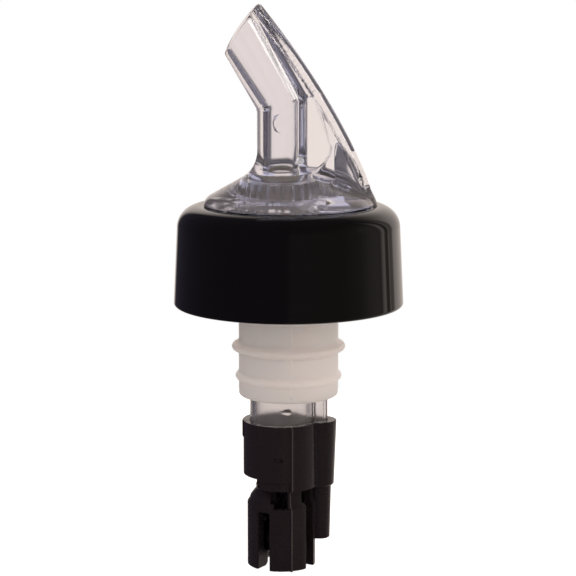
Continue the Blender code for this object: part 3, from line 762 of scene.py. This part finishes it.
class Look:
    """A material with one Principled shader, and short ways to add nodes to it."""

    def __init__(self, name, **values):
        self.material = bpy.data.materials.new(name)
        self.material.use_nodes = True
        self.tree = self.material.node_tree
        self.surface = self.tree.nodes["Principled BSDF"]
        for socket, value in values.items():
            self.surface.inputs[socket.replace("_", " ")].default_value = value

    def node(self, kind, **settings):
        made = self.tree.nodes.new(kind)
        for key, value in settings.items():
            if hasattr(made, key):
                setattr(made, key, value)
            else:
                made.inputs[key.replace("_", " ")].default_value = value
        return made

    def link(self, start, end):
        self.tree.links.new(start, end)

    def noise(self, scale, detail=3.0, stretch=(1, 1, 1)):
        place = self.node("ShaderNodeTexCoord")
        fit = self.node("ShaderNodeMapping", Scale=stretch)
        made = self.node("ShaderNodeTexNoise", Scale=scale, Detail=detail)
        self.link(place.outputs["Object"], fit.inputs["Vector"])
        self.link(fit.outputs["Vector"], made.inputs["Vector"])
        return made.outputs["Fac"]

    def vary(self, socket, source, low, high):
        """Drives a number from a pattern, from one value to another."""
        spread = self.node("ShaderNodeMapRange", From_Min=0.3, From_Max=0.7, To_Min=low, To_Max=high)
        self.link(source, spread.inputs["Value"])
        self.link(spread.outputs["Result"], self.surface.inputs[socket])

    def tint(self, source, low, high):
        """Colours the surface from a pattern, from one colour to another."""
        mix = self.node("ShaderNodeMix", data_type="RGBA")
        mix.inputs["A"].default_value = (*low, 1)
        mix.inputs["B"].default_value = (*high, 1)
        self.link(source, mix.inputs["Factor"])
        self.link(mix.outputs["Result"], self.surface.inputs["Base Color"])

    def bump(self, source, distance, strength=1.0):
        made = self.node("ShaderNodeBump", Strength=strength, Distance=distance)
        self.link(source, made.inputs["Height"])
        self.link(made.outputs["Normal"], self.surface.inputs["Normal"])

    def absorb(self, colour, density):
        volume = self.node("ShaderNodeVolumeAbsorption", Density=density)
        volume.inputs["Color"].default_value = (*colour, 1)
        self.link(volume.outputs["Volume"], self.tree.nodes["Material Output"].inputs["Volume"])


def clear_plastic(name, tint, deep, density, roughness, haze, stretch=0.4):
    """Clear plastic with a faint haze, whose share and height in metres are given at its foot and its top."""
    look = Look(name, IOR=1.49)
    place = look.node("ShaderNodeTexCoord")
    height = look.node("ShaderNodeSeparateXYZ")
    look.link(place.outputs["Object"], height.inputs["Vector"])
    (low_haze, low), (high_haze, high) = haze
    spread = look.node("ShaderNodeMapRange", From_Min=low, From_Max=high)
    spread.inputs["To Min"].default_value = 1 - low_haze
    spread.inputs["To Max"].default_value = 1 - high_haze
    look.link(height.outputs["Z"], spread.inputs["Value"])
    look.link(spread.outputs["Result"], look.surface.inputs["Transmission Weight"])
    look.surface.inputs["Base Color"].default_value = (*tint, 1)
    flow = look.noise(110, 2, (1, 1, stretch))
    look.vary("Roughness", flow, roughness * 0.6, roughness * 1.5)
    look.bump(flow, 0.00003, 0.5)
    look.absorb(deep, density)
    return look.material


def black_gloss():
    look = Look("collar_black")
    look.tint(look.noise(300), (0.0012, 0.0012, 0.0012), (0.0022, 0.0020, 0.0020))
    look.vary("Roughness", look.noise(260, 4, (1, 1, 0.25)), 0.02, 0.06)
    look.bump(look.noise(160, 3), 0.00001, 0.4)
    return look.material


def milky_plastic():
    look = Look("stopper_polythene", Roughness=0.42, Subsurface_Weight=1.0, Subsurface_Scale=0.012)
    look.surface.inputs["Subsurface Radius"].default_value = (1.0, 0.85, 0.75)
    look.tint(look.noise(90, 3, (1, 1, 0.5)), (0.86, 0.82, 0.79), (0.92, 0.88, 0.86))
    look.bump(look.noise(1400, 3), 0.00002, 0.35)
    return look.material


def dark_plastic():
    look = Look("tail_black", Specular_IOR_Level=0.5)
    look.tint(look.noise(220, 4), (0.0108, 0.0080, 0.0094), (0.0155, 0.0116, 0.0138))
    look.vary("Roughness", look.noise(700, 4), 0.18, 0.3)
    look.bump(look.noise(1100, 2), 0.000004, 0.4)
    # a painted highlight line down the rib
    painted_rib_highlight(look)
    return look.material


def painted_rib_highlight(look):
    """A paler line painted down the moulding's rib: a painted highlight along its edge."""
    place = look.node("ShaderNodeTexCoord")
    across = look.node("ShaderNodeVectorMath", operation="DOT_PRODUCT")
    across.inputs[1].default_value = (cos(RIB_AZIMUTH), sin(RIB_AZIMUTH), 0)
    look.link(place.outputs["Object"], across.inputs[0])
    near = look.node("ShaderNodeMath", operation="COMPARE")
    near.inputs[1].default_value = PIPE_X * cos(RIB_AZIMUTH) * MM
    near.inputs[2].default_value = RIB_HIGHLIGHT_HALF * MM
    look.link(across.outputs["Value"], near.inputs[0])
    mix = look.node("ShaderNodeMix", data_type="RGBA")
    look.link(look.surface.inputs["Base Color"].links[0].from_socket, mix.inputs["A"])
    mix.inputs["B"].default_value = (*RIB_HIGHLIGHT_COLOUR, 1)
    look.link(near.outputs["Value"], mix.inputs["Factor"])
    look.link(mix.outputs["Result"], look.surface.inputs["Base Color"])


def pale_nylon():
    look = Look("seat_nylon", Roughness=0.4, Subsurface_Weight=0.4, Subsurface_Scale=0.001)
    look.tint(look.noise(500, 3), (0.80, 0.74, 0.50), (0.88, 0.84, 0.62))
    return look.material


def shade_darkened_steel():
    look = Look("ball_steel", Metallic=1.0)
    # The steel colour is set darker than bare steel: painted shade for the balls enclosed in the cage.
    look.tint(look.noise(500, 4), (0.22, 0.22, 0.23), (0.30, 0.30, 0.31))
    look.vary("Roughness", look.noise(1500, 4, (1, 1, 4)), 0.16, 0.26)
    return look.material


# Stage


def stage():
    """A pale floor, one soft lamp, a light studio behind and a dim room in front, and the camera."""
    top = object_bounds()[0].z / MM - FLOOR_GAP
    bottom = top - FLOOR_DEPTH
    slab = [(FLOOR_HOLE, bottom), (FLOOR_RADIUS, bottom), (FLOOR_RADIUS, top), (FLOOR_HOLE, top)]
    floor = turned("floor", slab, 0, 96)
    paint = Look("floor_pale", Roughness=0.7)
    paint.tint(paint.noise(20), (0.50, 0.48, 0.46), (0.54, 0.52, 0.50))
    paint.surface.inputs["Emission Color"].default_value = (1, 1, 1, 1)
    seen = paint.node("ShaderNodeLightPath")
    paint.link(seen.outputs["Is Camera Ray"], paint.surface.inputs["Emission Strength"])
    floor.data.materials.append(paint.material)
    floor.visible_glossy = False
    floor.visible_transmission = False
    floor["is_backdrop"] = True
    lamp(
        "strip_light",
        place=(0.47, -0.24, 0.27),
        size=(0.08, 0.20),
        radiance=8.0,
        colour=(1.0, 0.97, 0.95),
        lit="spout",
    )
    studio()
    camera()
    colours_and_bounces()


def lamp(name, place, size, radiance, colour, lit):
    """A soft rectangular lamp for one piece, aimed at the frame's origin. Its power follows from its size."""
    light = bpy.data.lights.new(name, "AREA")
    light.shape = "RECTANGLE"
    light.size, light.size_y = size
    light.energy = radiance * pi * size[0] * size[1]
    light.color = colour
    made = bpy.data.objects.new(name, light)
    made.visible_diffuse = False
    made.visible_transmission = False
    made.light_linking.receiver_collection = bpy.data.collections.new(name)
    made.light_linking.receiver_collection.objects.link(bpy.data.objects[lit])
    made.location = place
    made.rotation_euler = (-Vector(place)).to_track_quat("-Z", "Y").to_euler()
    bpy.context.scene.collection.objects.link(made)


def studio():
    """The surroundings: a warm wall behind that reaches to the right, a dim room and a white backdrop."""
    world = bpy.data.worlds.new("studio")
    bpy.context.scene.world = world
    world.use_nodes = True
    tree = world.node_tree
    make, join = tree.nodes.new, tree.links.new

    def ramp(source, start, end, low=0.0, high=1.0, kind="SMOOTHSTEP"):
        made = make("ShaderNodeMapRange")
        made.interpolation_type = kind
        for socket, value in (("From Min", start), ("From Max", end), ("To Min", low), ("To Max", high)):
            made.inputs[socket].default_value = value
        join(source, made.inputs["Value"])
        return made.outputs["Result"]

    def math(operation, one, two):
        made = make("ShaderNodeMath")
        made.operation = operation
        join(one, made.inputs[0])
        join(two, made.inputs[1])
        return made.outputs["Value"]

    def steps(source, stops):
        made = make("ShaderNodeValToRGB")
        elements = made.color_ramp.elements
        for position, value in stops:
            elements.new(position).color = (value, value, value, 1)
        elements.remove(elements[-1])
        elements.remove(elements[0])
        join(source, made.inputs["Fac"])
        return made.outputs["Color"]

    def blend(factor, below, above):
        made = make("ShaderNodeMix")
        made.data_type = "RGBA"
        join(factor, made.inputs["Factor"])
        for socket, colour in (("A", below), ("B", above)):
            if isinstance(colour, tuple):
                made.inputs[socket].default_value = (*colour, 1)
            else:
                join(colour, made.inputs[socket])
        return made.outputs["Result"]

    ray = make("ShaderNodeLightPath").outputs
    place = make("ShaderNodeTexCoord")
    parts = make("ShaderNodeSeparateXYZ")
    join(place.outputs["Generated"], parts.inputs["Vector"])
    side, depth, height = parts.outputs
    bearing = math("ARCTAN2", side, depth)
    stops = [((turn + 180) / 360, value) for turn, value in WALL_BRIGHTNESS]
    wall = steps(ramp(bearing, -pi, pi, kind="LINEAR"), stops)
    room = blend(ramp(side, -0.9, 0.9), ROOM_LEFT, ROOM_RIGHT)
    sky = math("MULTIPLY", ramp(side, *SKY_SIDES, 1.0, 0.0), ramp(depth, *SKY_DEPTHS))
    sky = math("MULTIPLY", sky, ramp(height, *SKY_HEIGHTS))
    sky = math("MAXIMUM", sky, ramp(height, *TABLE_HEIGHTS, 0.0, TABLE_STRENGTH))
    sky = math("MAXIMUM", sky, ramp(bearing, *FRONT_BEARINGS, 0.0, FRONT_STRENGTH))
    right = math("MULTIPLY", ramp(bearing, *RIGHT_START), ramp(bearing, *RIGHT_END, 0.0, RIGHT_STRENGTH))
    sky = math("MAXIMUM", sky, right)
    room = blend(math("MULTIPLY", sky, ray["Is Transmission Ray"]), room, SKY)
    lit = blend(math("MULTIPLY", wall, ramp(height, *WALL_HEIGHTS, 1.0, 0.0)), room, WALL)
    soft = blend(ramp(side, -1, 1), SOFT_LEFT, SOFT_RIGHT)
    shown = blend(math("MAXIMUM", ray["Is Glossy Ray"], ray["Is Transmission Ray"]), soft, lit)
    shown = blend(ray["Is Camera Ray"], shown, BACKDROP)
    world.cycles.sampling_method = "NONE"
    join(shown, tree.nodes["Background"].inputs["Color"])


def camera():
    """Looks slightly down at the spout's front."""
    data = bpy.data.cameras.new("camera")
    data.lens = CAMERA_LENS
    data.sensor_width = CAMERA_SENSOR
    made = bpy.data.objects.new("camera", data)
    made.location = CAMERA_PLACE
    made.rotation_euler = (radians(90 - CAMERA_DIP), 0, 0)
    bpy.context.scene.collection.objects.link(made)
    bpy.context.scene.camera = made


def colours_and_bounces():
    """Plain colours, and light paths long enough to pass through all the clear walls."""
    settings = bpy.context.scene
    settings.view_settings.view_transform = "Standard"
    settings.cycles.max_bounces = 24
    settings.cycles.transmission_bounces = 24
    settings.cycles.transparent_max_bounces = 16


def dress(piece, look, body, node):
    """Gives a piece its material and its body, and hides the CAD node that it stands for."""
    piece.data.materials.append(look)
    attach(piece, body)
    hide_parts(node)


def corners_of(node):
    """A CAD node's lowest and highest corners, in millimetres."""
    return [tuple(Vector(corner) / MM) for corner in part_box(node)]


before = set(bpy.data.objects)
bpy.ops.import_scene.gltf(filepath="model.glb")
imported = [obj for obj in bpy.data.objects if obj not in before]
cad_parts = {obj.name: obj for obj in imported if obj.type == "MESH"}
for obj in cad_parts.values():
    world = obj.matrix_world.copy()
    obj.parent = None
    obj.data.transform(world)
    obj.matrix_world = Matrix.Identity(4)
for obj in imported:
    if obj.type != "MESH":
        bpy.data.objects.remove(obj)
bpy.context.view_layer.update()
STOPPER_BOTTOM = corners_of("stopper")[0][2]
BARREL_TOP = corners_of("metering_barrel")[1][2]

coarse = 1.0
spout = moulded("spout", spout_field, *corners_of("spout_nozzle"), 0.25 * coarse)
spout_look = clear_plastic(
    "clear_acrylic",
    tint=(0.98, 0.98, 1.0),
    deep=(0.62, 0.64, 0.88),
    density=10,
    roughness=0.03,
    haze=((0.10, 0.004), (0.03, 0.012)),
)
dress(spout, spout_look, "housing", "spout_nozzle")
dress(valve_seat(), pale_nylon(), "housing", "valve_seat")
dress(collar(), black_gloss(), "housing", "collar")
milky = moulded("soft_stopper", stopper_field, *corners_of("stopper"), 0.3 * coarse)
dress(milky, milky_plastic(), "housing", "stopper")
barrel = moulded("barrel", barrel_field, *corners_of("metering_barrel"), 0.28 * coarse)
barrel_look = clear_plastic(
    "barrel_acrylic",
    tint=(0.97, 0.96, 0.96),
    deep=(0.6, 0.6, 0.75),
    density=8,
    roughness=0.16,
    haze=((0.12, -0.036), (0.05, -0.032)),
    stretch=0.12,
)
dress(barrel, barrel_look, "housing", "metering_barrel")
tail = moulded("ball_cage", tail_field, *corners_of("tail_cage"), 0.175 * coarse)
dress(tail, dark_plastic(), "housing", "tail_cage")
steel = shade_darkened_steel()
dress(ball("large_ball", "control_ball"), steel, "control_ball", "control_ball")
dress(ball("small_ball", "breather_ball"), steel, "breather_ball", "breather_ball")
stage()
